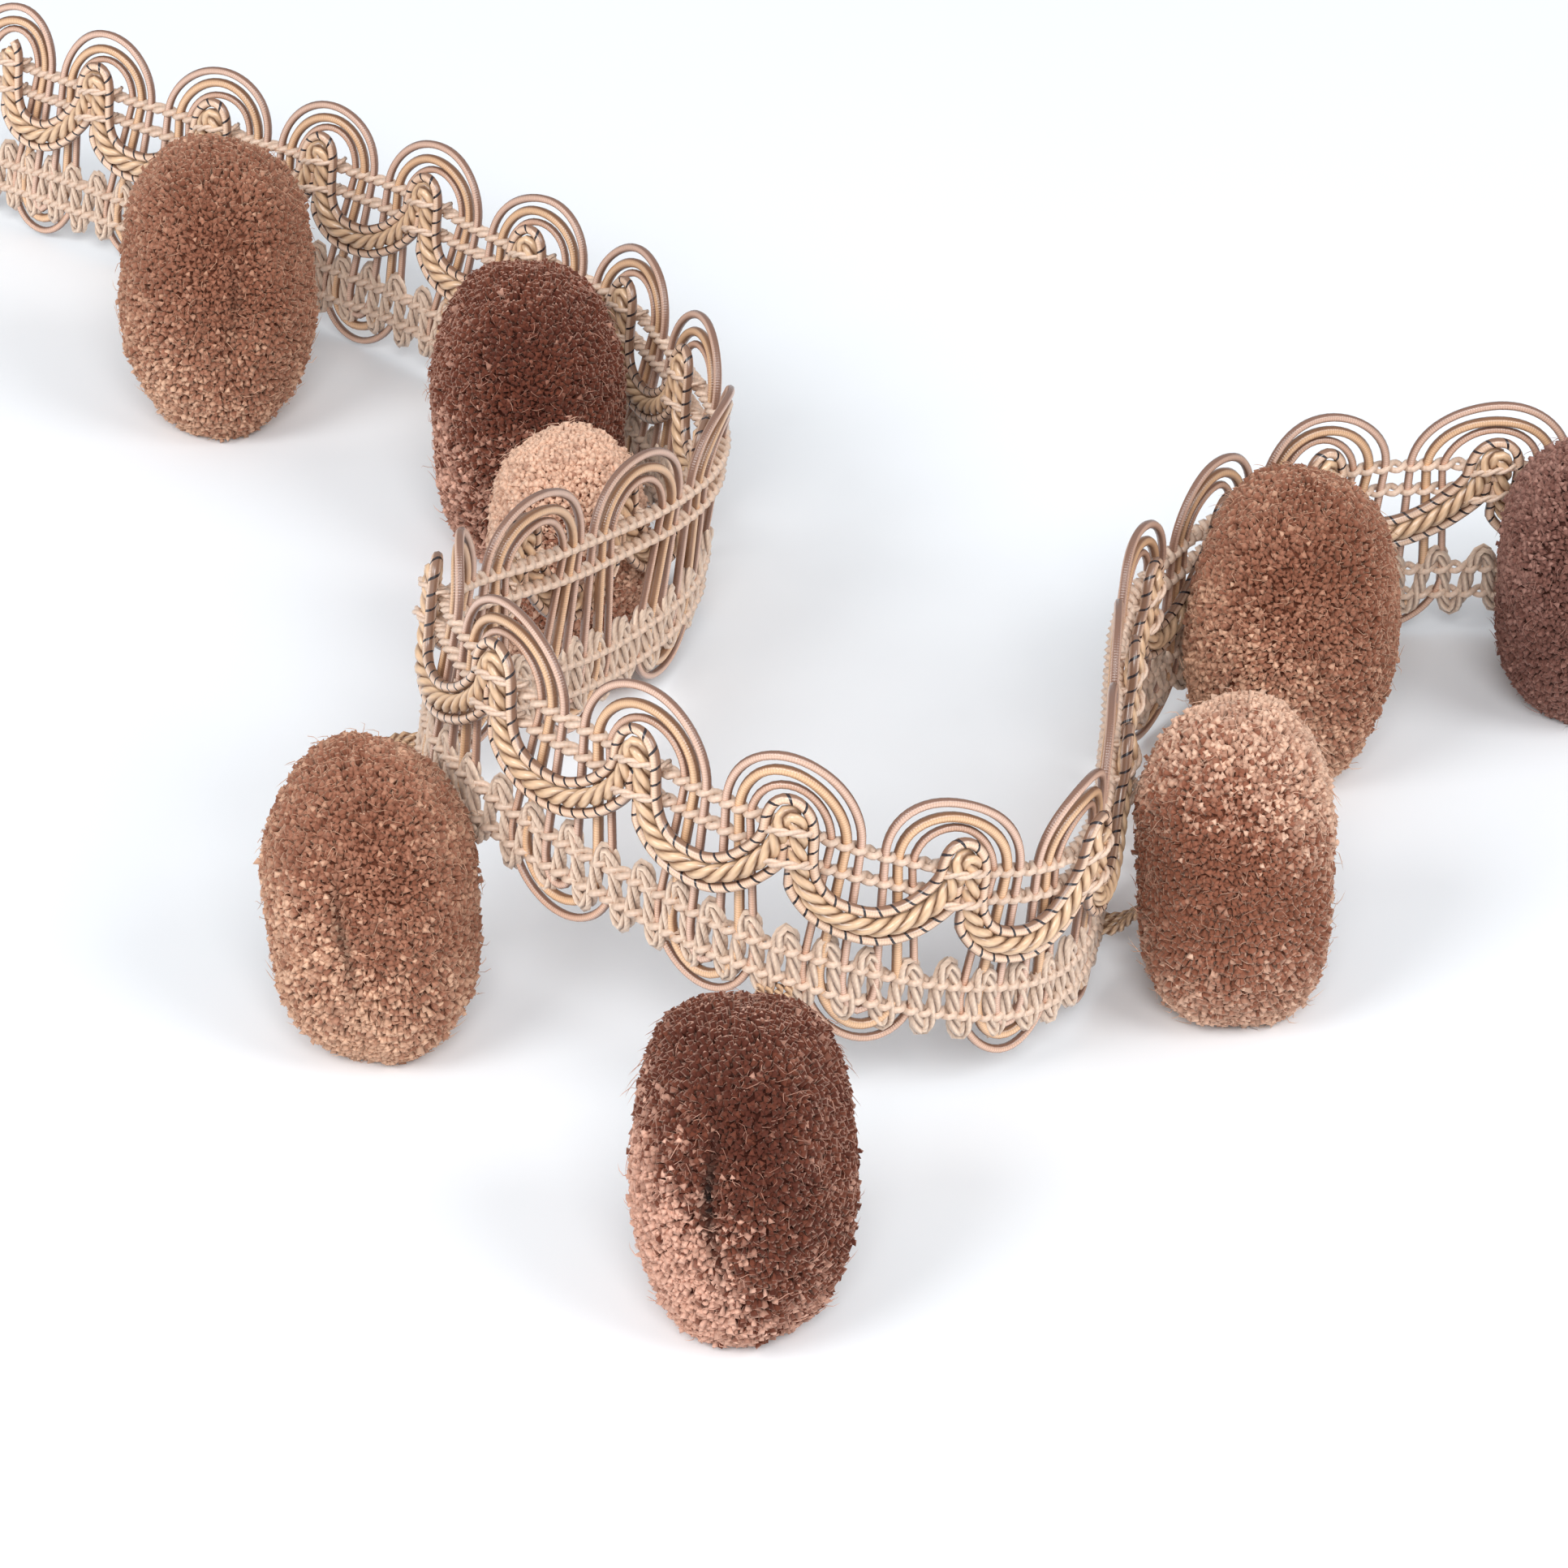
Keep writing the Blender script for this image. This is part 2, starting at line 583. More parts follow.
class Skein:
    """Gathers closed tubes and turns them into one mesh.

    Each point keeps three marks: millimetres along its tube, and the cosine and sine of
    its place round it, made shorter in the grooves of a rope.
    """

    def __init__(self):
        self.points = []
        self.marks = []
        self.quads = []
        self.triangles = []
        self.count = 0

    def add(self, points, marks, quads, triangles):
        self.points.append(points)
        self.marks.append(marks)
        self.quads.append(np.asarray(quads, dtype=np.int32).reshape(-1, 4) + self.count)
        self.triangles.append(np.asarray(triangles, dtype=np.int32).reshape(-1, 3) + self.count)
        self.count += len(points)

    def tube(self, path, fronts, thickness, sides, rope=None):
        """One closed tube along a path. rope is the middle line of the rope it is part of."""
        tangents = unit(np.gradient(path, axis=0))
        aside = unit(np.cross(tangents, fronts))
        over = np.cross(aside, tangents)
        turns = np.arange(sides) * FULL_TURN / sides
        cosines = np.cos(turns)[None, :, None]
        sines = np.sin(turns)[None, :, None]
        rings = cosines * aside[:, None, :] + sines * over[:, None, :]
        rings = path[:, None, :] + rings * thickness / 2
        count = len(path)
        along = lengths_along(path) / MM
        marks = np.zeros((count, sides, 3))
        marks[:, :, 0] = along[:, None]
        marks[:, :, 1] = np.cos(turns)
        marks[:, :, 2] = np.sin(turns)
        if rope is not None:
            out = np.linalg.norm(rings - rope[:, None, :], axis=2)
            spread = np.linalg.norm(path - rope, axis=1)[:, None]
            crown = np.clip((out - spread) / (thickness / 2), GROOVE, 1.0)
            marks[:, :, 1:] *= crown[:, :, None]
        ends = np.array([[along[0], 0.0, 0.0], [along[-1], 0.0, 0.0]])
        ring = np.arange(sides)
        after = (ring + 1) % sides
        starts = (np.arange(count - 1) * sides)[:, None]
        quads = np.stack(
            [starts + ring, starts + sides + ring, starts + sides + after, starts + after], axis=2
        )
        first = np.full(sides, count * sides)
        last = (count - 1) * sides
        caps = np.concatenate(
            [
                np.stack([first, ring, after], axis=1),
                np.stack([first + 1, last + after, last + ring], axis=1),
            ]
        )
        points = np.concatenate([rings.reshape(-1, 3), path[:1], path[-1:]])
        self.add(points, np.concatenate([marks.reshape(-1, 3), ends]), quads, caps)

    def rope(self, path, fronts, ply, strands, pitch, sides, start=0.0):
        """Strands twisted round a path. ply is one strand's thickness, in metres."""
        along = lengths_along(path)
        tangents = unit(np.gradient(path, axis=0))
        aside = unit(np.cross(tangents, fronts))
        over = np.cross(aside, tangents)
        spread = ply / 2 / math.sin(math.pi / strands) * STRAND_SNUG
        for k in range(strands):
            turn = (FULL_TURN * (along / pitch + k / strands) + start)[:, None]
            outward = np.cos(turn) * aside + np.sin(turn) * over
            self.tube(path + spread * outward, fronts, ply, sides, path)

    def mesh(self, name):
        points = np.concatenate(self.points)
        marks = np.concatenate(self.marks)
        quads = np.concatenate(self.quads)
        triangles = np.concatenate(self.triangles)
        corners = np.concatenate([quads.ravel(), triangles.ravel()])
        starts = np.concatenate(
            [np.arange(len(quads)) * 4, quads.size + np.arange(len(triangles)) * 3]
        )
        mesh = bpy.data.meshes.new(name)
        mesh.vertices.add(len(points))
        mesh.vertices.foreach_set("co", points.astype(np.float32).ravel())
        mesh.loops.add(len(corners))
        mesh.loops.foreach_set("vertex_index", corners.astype(np.int32))
        mesh.polygons.add(len(starts))
        mesh.polygons.foreach_set("loop_start", starts.astype(np.int32))
        layer = mesh.attributes.new("marks", "FLOAT_VECTOR", "POINT")
        layer.data.foreach_set("vector", marks.astype(np.float32).ravel())
        mesh.update(calc_edges=True)
        mesh.shade_smooth()
        return mesh


def place(name, skein, material, stands_for):
    """Puts a finished piece in the scene in place of its solid."""
    item = bpy.data.objects.new(name, skein.mesh(name))
    item.data.materials.append(material)
    bpy.context.collection.objects.link(item)
    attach(item, "root")
    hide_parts(stands_for)
    return item


# Materials


def add_node(tree, kind, inputs=None, **settings):
    """Adds a node, gives it its settings, and fills or links its inputs."""
    node = tree.nodes.new(kind)
    for name, value in settings.items():
        setattr(node, name, value)
    for socket, value in (inputs or {}).items():
        if isinstance(value, bpy.types.NodeSocket):
            tree.links.new(value, node.inputs[socket])
        else:
            node.inputs[socket].default_value = value
    return node


def new_material(name, finish):
    """A material with its shader set to a finish, ready for its pattern."""
    material = bpy.data.materials.new(name)
    material.use_nodes = True
    tree = material.node_tree
    shader = tree.nodes["Principled BSDF"]
    shader.inputs["Roughness"].default_value = finish.roughness
    shader.inputs["Specular IOR Level"].default_value = finish.specular
    shader.inputs["Sheen Weight"].default_value = finish.sheen
    return material, tree, shader


def opaque(colour):
    return (*colour, 1.0)


def darker(colour, share):
    return tuple(c * share for c in colour)


def side_tone(colour):
    """The deeper and redder tone at a satin cord's sides."""
    return tuple(c * SIDE_SHARE * tint for c, tint in zip(colour, SIDE_TINT))


def eased(tree, value, low, high):
    """0 up to the low value and 1 from the high one, with a smooth step between."""
    return add_node(
        tree,
        "ShaderNodeMapRange",
        {0: value, 1: low, 2: high},
        interpolation_type="SMOOTHSTEP",
    ).outputs[0]


def along_and_round(tree):
    """Millimetres along the thread, its place round it in turns, and 0 to 1 out of a groove."""
    marks = add_node(tree, "ShaderNodeAttribute", attribute_name="marks")
    parts = add_node(tree, "ShaderNodeSeparateXYZ", {0: marks.outputs["Vector"]})
    angle = add_node(
        tree, "ShaderNodeMath", {0: parts.outputs[2], 1: parts.outputs[1]}, operation="ARCTAN2"
    )
    turns = add_node(tree, "ShaderNodeMath", {0: angle.outputs[0], 1: FULL_TURN}, operation="DIVIDE")
    round_it = add_node(
        tree, "ShaderNodeCombineXYZ", {1: parts.outputs[1], 2: parts.outputs[2]}
    )
    crown = add_node(
        tree, "ShaderNodeVectorMath", {0: round_it.outputs[0]}, operation="LENGTH"
    )
    return parts.outputs[0], turns.outputs[0], crown.outputs["Value"]


def crown_of_cord(tree):
    """1 on the front and the back of a cord, and 0 at its two sides."""
    marks = add_node(tree, "ShaderNodeAttribute", attribute_name="marks")
    parts = add_node(tree, "ShaderNodeSeparateXYZ", {0: marks.outputs["Vector"]})
    facing = add_node(tree, "ShaderNodeMath", {0: parts.outputs[2]}, operation="ABSOLUTE")
    return eased(tree, facing.outputs[0], SIDE_FROM, SIDE_TO)


def ridges(tree, along, pitch_mm):
    """A wave from 0 to 1 that repeats along the thread."""
    turn = add_node(
        tree, "ShaderNodeMath", {0: along, 1: FULL_TURN / pitch_mm}, operation="MULTIPLY"
    )
    wave = add_node(tree, "ShaderNodeMath", {0: turn.outputs[0]}, operation="SINE")
    return add_node(
        tree, "ShaderNodeMath", {0: wave.outputs[0], 1: 0.5, 2: 0.5}, operation="MULTIPLY_ADD"
    ).outputs[0]


def blotches(tree, size_mm, detail=2.0):
    """Even noise whose spots are about the given size."""
    place_on = add_node(tree, "ShaderNodeTexCoord")
    return add_node(
        tree,
        "ShaderNodeTexNoise",
        {"Vector": place_on.outputs["Object"], "Scale": 1 / (size_mm * MM), "Detail": detail},
    ).outputs["Fac"]


def blend(tree, factor, first, second):
    """Mixes two colours. Inputs 6 and 7 of the Mix node are its colours."""
    return add_node(
        tree, "ShaderNodeMix", {0: factor, 6: first, 7: second}, data_type="RGBA"
    ).outputs[2]


def toned(tree, colour, finish, lines, cloud):
    """Clouds of duller and brighter yarn, with a deeper tone between the lines."""
    dull = opaque(darker(colour, finish.dull))
    bright = opaque(darker(colour, finish.bright))
    line = opaque(darker(colour, finish.line))
    return blend(tree, lines, line, blend(tree, cloud, dull, bright))


def raise_by(tree, shader, height, finish):
    bump = add_node(
        tree,
        "ShaderNodeBump",
        {"Height": height, "Distance": finish.relief * MM, "Strength": finish.strength},
    )
    tree.links.new(bump.outputs["Normal"], shader.inputs["Normal"])


def wrapped_viscose(name, colour, wrap):
    """Gimp: a cotton core wrapped in fine viscose.

    The turns of thread give faint fine rings across the cord. The viscose gives a bright
    satin light along the cord and a deep brown tone at its two sides.
    """
    material, tree, shader = new_material(name, WRAPPED)
    along = along_and_round(tree)[0]
    rings = ridges(tree, along, wrap / MM)
    lined = toned(tree, colour, WRAPPED, rings, blotches(tree, CLOUD_MM))
    sided = blend(tree, crown_of_cord(tree), opaque(side_tone(colour)), lined)
    tree.links.new(sided, shader.inputs["Base Color"])
    raise_by(tree, shader, rings, WRAPPED)
    return material


def sheer_thread(name, colour):
    """Binder: a sheer, loosely twisted synthetic thread.

    It is paler than the cords, lets a little light through and shines along its turns.
    """
    material, tree, shader = new_material(name, SHEER)
    shader.inputs["Transmission Weight"].default_value = SHEER_CLEAR
    shader.inputs["IOR"].default_value = SHEER_IOR
    along = along_and_round(tree)[0]
    strands = ridges(tree, along, BINDER_LINE_MM)
    tint = blend(tree, strands, opaque(darker(colour, SHEER.line)), opaque(colour))
    tree.links.new(tint, shader.inputs["Base Color"])
    raise_by(tree, shader, strands, SHEER)
    return material


def slanting(tree, along, turns, share):
    """A length that grows at a slant along the strand, as its fibres run."""
    return add_node(
        tree, "ShaderNodeMath", {0: turns, 1: share, 2: along}, operation="MULTIPLY_ADD"
    ).outputs[0]


def spun_cotton(name, colour):
    """Cotton yarn: matte spun fibres at a slight slant, with darker hollows between the plies."""
    material, tree, shader = new_material(name, SPUN)
    along, turns, crown = along_and_round(tree)
    fibres = ridges(tree, slanting(tree, along, turns, SPUN_SLANT), SPUN_LINE_MM)
    lined = toned(tree, colour, SPUN, fibres, blotches(tree, SPUN_CLOUD_MM, detail=4.0))
    deep = blend(tree, crown, opaque(side_tone(colour)), lined)
    tree.links.new(deep, shader.inputs["Base Color"])
    raise_by(tree, shader, fibres, SPUN)
    return material


def twisted_viscose(name, colour):
    """Rope of twisted viscose strands.

    Each strand is a smooth satin bundle: fine lines run along it, it shines on its crown
    and darkens to gold brown in the groove between strands.
    """
    material, tree, shader = new_material(name, TWISTED)
    along, turns, crown = along_and_round(tree)
    lines = ridges(tree, slanting(tree, along, turns, ROPE_SLANT), ROPE_LINE_MM)
    lined = toned(tree, colour, TWISTED, lines, blotches(tree, CLOUD_MM, detail=3.0))
    raised = eased(tree, crown, STRAND_FROM, STRAND_TO)
    deep = blend(tree, raised, opaque(side_tone(colour)), lined)
    tree.links.new(deep, shader.inputs["Base Color"])
    raise_by(tree, shader, lines, TWISTED)
    return material


def overcast_satin(name, colour, thread, pitch):
    """Satin cord overcast with dark metallic thread.

    The thread crosses the cord as short dark slanting ticks, a little raised.
    """
    material, tree, shader = new_material(name, OVERCAST)
    along, turns = along_and_round(tree)[:2]
    laps = add_node(
        tree, "ShaderNodeMath", {0: along, 1: MM / pitch, 2: turns}, operation="MULTIPLY_ADD"
    ).outputs[0]
    lap = add_node(tree, "ShaderNodeMath", {0: laps}, operation="FRACT").outputs[0]
    tick = add_node(
        tree, "ShaderNodeMath", {0: lap, 1: TICK_SHARE}, operation="LESS_THAN"
    ).outputs[0]
    fine = ridges(tree, along, SATIN_LINE_MM)
    line = opaque(darker(colour, OVERCAST.line))
    satin = blend(tree, fine, line, opaque(darker(colour, OVERCAST.bright)))
    sided = blend(tree, crown_of_cord(tree), opaque(side_tone(colour)), satin)
    tree.links.new(blend(tree, tick, sided, opaque(thread)), shader.inputs["Base Color"])
    raise_by(tree, shader, tick, OVERCAST)
    return material


def cut_pile(name, deep, middle, pale):
    """Cut viscose pile.

    Its ends are paler than its sides, so the surface reads as mottled dots over a dark
    inside, with a darker slit over the tie, and the loose fibres catch a pale sheen at the
    outline.
    """
    material, tree, shader = new_material(name, CUT)
    shader.inputs["Sheen Roughness"].default_value = PILE_SHEEN_ROUGHNESS
    shader.inputs["Sheen Tint"].default_value = opaque(pale)
    marks = add_node(tree, "ShaderNodeAttribute", attribute_name="marks")
    parts = add_node(tree, "ShaderNodeSeparateXYZ", {0: marks.outputs["Vector"]})
    ramp = add_node(tree, "ShaderNodeValToRGB", {0: parts.outputs[0]})
    first, last = ramp.color_ramp.elements
    first.color, first.position = opaque(deep), 0.0
    last.color, last.position = opaque(pale), 1.0
    ramp.color_ramp.elements.new(PILE_MIDDLE).color = opaque(middle)
    plain = ramp.outputs["Color"]
    speckle = blotches(tree, SPECKLE_MM, detail=3.0)
    streaked = blend(tree, speckle, opaque(darker(middle, CUT.dull)), plain)
    mixed = blend(tree, PILE_CALM, streaked, plain)
    coloured = blend(tree, parts.outputs[1], opaque(darker(deep, PILE_ROOT_TONE)), mixed)
    warm = add_node(
        tree,
        "ShaderNodeMix",
        {0: 1.0, 6: coloured, 7: opaque(PILE_WARM)},
        data_type="RGBA",
        blend_type="MULTIPLY",
    ).outputs[2]
    clouded = blend(tree, blotches(tree, PILE_CLOUD_MM), coloured, warm)
    parted = blend(tree, parts.outputs[2], opaque(darker(deep, SLIT_DARK)), clouded)
    tree.links.new(parted, shader.inputs["Base Color"])
    return material


# Pieces


def serpentine(cord):
    """Places of one cord over a repeat, from one loop's bottom to the next's."""
    quarter = np.linspace(0.0, math.pi / 2, BEND_SAMPLES)
    half = np.linspace(math.pi, 0.0, ARCH_SAMPLES)
    rise = np.linspace(0.0, 1.0, BEND_SAMPLES)[1:-1]
    loop = -0.5 + cord.bottom_half * np.sin(quarter)
    loop_heights = cord.hip - (cord.hip - cord.bottom) * np.cos(quarter)
    leg_foot = -0.5 + cord.bottom_half
    leg = leg_foot + (-cord.top_half - leg_foot) * rise
    leg_heights = cord.hip + (cord.shoulder - cord.hip) * rise
    arch = cord.top_half * np.cos(half)
    arch_heights = cord.shoulder + (cord.top - cord.shoulder) * np.sin(half)
    across = np.concatenate([loop, leg, arch, -leg[::-1], -loop[::-1]])
    heights = np.concatenate(
        [loop_heights, leg_heights, arch_heights, leg_heights[::-1], loop_heights[::-1]]
    )
    return across[:-1], heights[:-1]


def over_repeats(across, heights):
    repeats = []
    for repeat in range(FIRST_REPEAT, LAST_REPEAT + 1):
        repeats.append(repeat + across)
    return np.concatenate(repeats), np.tile(heights, LAST_REPEAT - FIRST_REPEAT + 1)


def braid_length():
    """Length of the braid's middle line, in metres."""
    repeats = np.linspace(FIRST_REPEAT - 0.5, LAST_REPEAT + 0.5, LENGTH_SAMPLES)
    return lengths_along(on_braid(repeats, BRAID_HEIGHT / 2, 0.0)[0])[-1]


def gimp_cord_skein(cord, thickness, seed):
    across, heights = serpentine(cord)
    repeats, heights = over_repeats(across, heights)
    heights = heights + wander(repeats, CORD_RISE, seed)
    prouds = cord.proud + wander(repeats, CORD_PROUD, seed)
    drifted = repeats + wander(repeats, CORD_DRIFT, seed)
    path, fronts = laid(drifted, heights, prouds, CORD_STEP)
    skein = Skein()
    skein.tube(path, fronts, thickness, CORD_SIDES)
    return skein


def binder_skein(thickness):
    skein = Skein()
    repeats = np.arange(FIRST_REPEAT - 0.5, LAST_REPEAT + 0.5, BINDER_SAMPLE)
    for number, height in enumerate(BINDER_ROWS):
        turn = repeats * FULL_TURN * BINDER_TWISTS
        for side in (0.0, math.pi):
            prouds = BINDER_DEPTH * np.cos(turn + side)
            heights = height + BINDER_SPREAD * np.sin(turn + side)
            heights = heights + wander(repeats, BINDER_RISE, number)
            path, fronts = laid(repeats, heights, prouds, BINDER_STEP)
            skein.tube(path, fronts, thickness, BINDER_SIDES)
    return skein


def crimp_skein(ply):
    repeats = np.arange(FIRST_REPEAT - 0.5, LAST_REPEAT + 0.5, CRIMP_SAMPLE)
    swing = np.sin(FULL_TURN * (CRIMPS * repeats + CRIMP_START))
    swing = np.sign(swing) * np.abs(swing) ** CRIMP_SQUARE
    middle = (CRIMP_HIGH + CRIMP_LOW) / 2
    heights = middle + swing * (CRIMP_HIGH - CRIMP_LOW) / 2 + wander(repeats, CRIMP_RISE)
    prouds = wander(repeats, CRIMP_PROUD)
    path, fronts = laid(repeats, heights, prouds, CRIMP_STEP)
    skein = Skein()
    skein.rope(path, fronts, ply, CRIMP_PLIES, CRIMP_PITCH * MM, CRIMP_SIDES)
    return skein


def scroll_line():
    """The scroll's middle line over all repeats: millimetres across, height and proud."""
    rows = []
    for repeat in range(FIRST_REPEAT, LAST_REPEAT):
        rows += [((repeat + p.across) * REPEAT_WIDTH, p.height, p.proud) for p in SCROLL]
    rows.append((LAST_REPEAT * REPEAT_WIDTH, SCROLL[0].height, SCROLL[0].proud))
    points = np.array(rows)
    padded = np.concatenate([points[:1], points, points[-1:]])
    line = []
    for i in range(len(points) - 1):
        before, start, end, after = padded[i : i + 4]
        for t in np.linspace(0.0, 1.0, SCROLL_SAMPLES, endpoint=False):
            bend = 2 * before - 5 * start + 4 * end - after
            cubic = 3 * start - before - 3 * end + after
            line.append(start + 0.5 * t * ((end - before) + t * (bend + t * cubic)))
    line.append(points[-1])
    return np.array(line)


def scroll_skeins(strand, rope_pitch, flank):
    """The rope, and the two satin cords that flank it."""
    line = scroll_line()
    rope = Skein()
    path, fronts = laid(line[:, 0] / REPEAT_WIDTH, line[:, 1], line[:, 2], ROPE_STEP)
    rope.rope(path, fronts, strand, ROPE_STRANDS, rope_pitch, ROPE_SIDES)
    satin = Skein()
    travel = unit(np.gradient(line[:, :2], axis=0))
    upward = np.stack([-travel[:, 1], travel[:, 0]], axis=1)
    for side in (1.0, -1.0):
        across = line[:, 0] + side * FLANK_OFFSET * upward[:, 0]
        heights = line[:, 1] + side * FLANK_OFFSET * upward[:, 1]
        if side < 0:
            start = np.floor(line[:, 0] / REPEAT_WIDTH + KNOB_SNAP) * REPEAT_WIDTH
            across = np.clip(across, start + FLANK_CLEAR, start + REPEAT_WIDTH - FLANK_CLEAR)
            keep = line[:, 1] < FLANK_TOP
            across, heights, prouds = across[keep], heights[keep], line[keep, 2]
        else:
            prouds = line[:, 2]
        path, fronts = laid(across / REPEAT_WIDTH, heights, prouds - FLANK_SETBACK, FLANK_STEP)
        satin.tube(path, fronts, flank, FLANK_SIDES)
    return rope, satin


def waist_skein(thickness):
    """Short stitches over the rope's two legs, below each knob, each a twisted pair."""
    skein = Skein()
    ply = thickness * WAIST_PLY
    swing = np.linspace(-1.0, 1.0, WAIST_SAMPLES)
    rise = WAIST_SLANT * swing + WAIST_RISE * (1 - swing**2)
    prouds = WAIST_PROUD * np.cos(swing * math.pi / 2) ** WAIST_SQUARE
    for repeat in range(FIRST_REPEAT, LAST_REPEAT + 1):
        for number, height in enumerate(WAIST_HEIGHTS):
            across = repeat + swing * WAIST_HALF
            path, fronts = laid(across, height + rise, prouds, WAIST_STEP)
            skein.rope(path, fronts, ply, 2, WAIST_PITCH * MM, WAIST_SIDES, number)
    return skein


# Pompoms


def turn_of(row):
    """Rotation that brings an upright pompom to its long axis, as a matrix."""
    level = math.sqrt(1 - row.tilt_x**2 - row.tilt_y**2)
    turn = Vector((0.0, 0.0, 1.0)).rotation_difference(Vector((row.tilt_x, row.tilt_y, level)))
    return np.array(turn.to_matrix())


def bearings(number, directions):
    """Angle round the oval from its furrow, in radians."""
    return np.arctan2(directions[:, 0], -directions[:, 1]) - FURROW_WANDER * math.sin(number)


def lumpy(number, directions):
    """Unevenness of the clipped pile, and the furrow that the tie leaves."""
    waves = np.zeros(len(directions))
    for wave in WAVES:
        turns = np.array([wave.turns_x, wave.turns_y, wave.turns_z])
        waves += wave.depth * np.sin(directions @ turns + wave.start * number)
    bearing = bearings(number, directions)
    furrow = FURROW_DEPTH * np.exp(-((bearing / FURROW_WIDTH) ** 2)) * (1 - directions[:, 2] ** 2)
    return 1.0 + waves - furrow


def blunt(directions):
    """How far the blunt oval stands out from an ellipse of the same half widths."""
    level = np.hypot(directions[:, 0], directions[:, 1])
    return (level**OVAL_POWER + np.abs(directions[:, 2]) ** OVAL_POWER) ** (-1 / OVAL_POWER)


def on_pile(number, row, directions, inset):
    """From a pompom's centre to its pile, for directions of the upright oval, in metres."""
    radii = np.array([row.radius - inset, row.radius - inset, row.half - inset]) * MM
    grown = blunt(directions) * lumpy(number, directions)
    return (directions * radii * grown[:, None]) @ turn_of(row).T


def centre_of(row):
    return np.array([row.x, row.y, row.z]) * MM


def tab_course(number, row):
    """Middle line of the tab from the braid into the pile, and the way it enters it."""
    start, front = on_braid(row.arch, TAB_SEAT_HEIGHT, BRAID_THICKNESS / 2 + TAB_SEAT_GAP)
    start, front = start[0], front[0]
    centre = centre_of(row)
    inward = unit(centre - start)
    upright = turn_of(row).T @ -inward
    radii = np.array([row.radius, row.radius, row.half]) - LOCK_INSET
    towards = unit(upright / radii)
    surface = np.linalg.norm(on_pile(number, row, towards[None, :], LOCK_INSET)[0])
    end = centre - inward * (surface + TAB_PILE_GAP * MM)
    bow = np.linalg.norm(end - start) * TAB_BOW
    first = start + front * bow
    second = end - inward * bow
    t = np.linspace(0.0, 1.0, TAB_SAMPLES)[:, None]
    line = start * (1 - t) ** 3 + first * 3 * t * (1 - t) ** 2
    line = line + second * 3 * t**2 * (1 - t) + end * t**3
    root = start - front * (BRAID_THICKNESS / 2 + TAB_SEAT_GAP) * MM
    tip = end + inward * (TAB_INTO_PILE + TAB_PILE_GAP) * MM
    return np.concatenate([root[None, :], line, tip[None, :]]), inward


def tab_skein(number, row, ply):
    line = tab_course(number, row)[0]
    path, faces = evenly(line, np.tile([0.0, 0.0, 1.0], (len(line), 1)), TAB_STEP)
    across = unit(np.cross(unit(np.gradient(path, axis=0)), faces))
    skein = Skein()
    for k in range(TAB_CORDS):
        place_on = (k + 0.5) / TAB_CORDS - 0.5
        offset = across * (place_on * TAB_WIDTH * MM)
        start = k * TAB_PLY_SHIFT + number
        skein.rope(path + offset, faces, ply, 2, TAB_PITCH * MM, TAB_SIDES, start)
    return skein


def pile_directions(row, count, rng):
    """Directions that lie evenly over the oval, a little shaken."""
    polar = np.linspace(0.0, math.pi, POLAR_SAMPLES)
    wide, tall = row.radius, row.half
    share = np.sin(polar) * np.sqrt((wide * np.cos(polar)) ** 2 + (tall * np.sin(polar)) ** 2)
    area = np.concatenate([[0.0], np.cumsum((share[1:] + share[:-1]) / 2)])
    at = (np.arange(count) + 0.5) / count
    tilt = np.interp(at * area[-1], area, polar)
    bearing = np.arange(count) * math.pi * GOLDEN_SHARE
    directions = np.stack(
        [np.sin(tilt) * np.cos(bearing), np.sin(tilt) * np.sin(bearing), np.cos(tilt)], axis=1
    )
    return unit(directions + rng.normal(0.0, PILE_SHAKE, directions.shape))


def slit_share(number, directions):
    """How deep in the slit each direction lies, from 0 to 1."""
    bend = SLIT_BEND * np.sin(directions[:, 2] * SLIT_TURNS + number)
    bearing = bearings(number, directions) - bend
    along = (directions[:, 2] - SLIT_LOW) / SLIT_HALF
    depth = PILES[number - 1].slit
    return depth * np.exp(-((bearing / SLIT_WIDTH) ** 2)) * np.exp(-(along**2))


def tones_of(number, outward, directions, rng):
    """How pale each pile end is: by the way it faces, in patches, and end by end."""
    pile = PILES[number - 1]
    pale = unit(np.array([pile.pale_x, pile.pale_y, pile.pale_z]))
    facing = outward @ pale + rng.normal(0.0, PALE_RAGGED, len(outward))
    side = np.clip((facing - PALE_FROM) / (PALE_TO - PALE_FROM), 0.0, 1.0)
    side = side * side * (3 - 2 * side)
    patches = np.zeros(len(outward))
    for patch in PATCHES:
        turns = np.array([patch.turns_x, patch.turns_y, patch.turns_z])
        patches = patches + np.sin(outward @ turns + number * patch.start)
    rim = 1.0 - np.exp(-((bearings(number, directions) / RIM_WIDTH) ** 4))
    foot = np.clip((-directions[:, 2] - FOOT_FROM) / (1.0 - FOOT_FROM), 0.0, 1.0)
    tones = pile.tone + pile.gain * side + pile.foot * foot + RIM_GAIN * rim + TONE_PATCH * patches
    tones = tones + rng.normal(0.0, pile.spread, len(outward))
    bright = rng.random(len(outward)) < BRIGHT_SHARE + BRIGHT_GAIN * side
    return np.clip(tones + BRIGHT_STEP * bright, 0.0, 1.0)


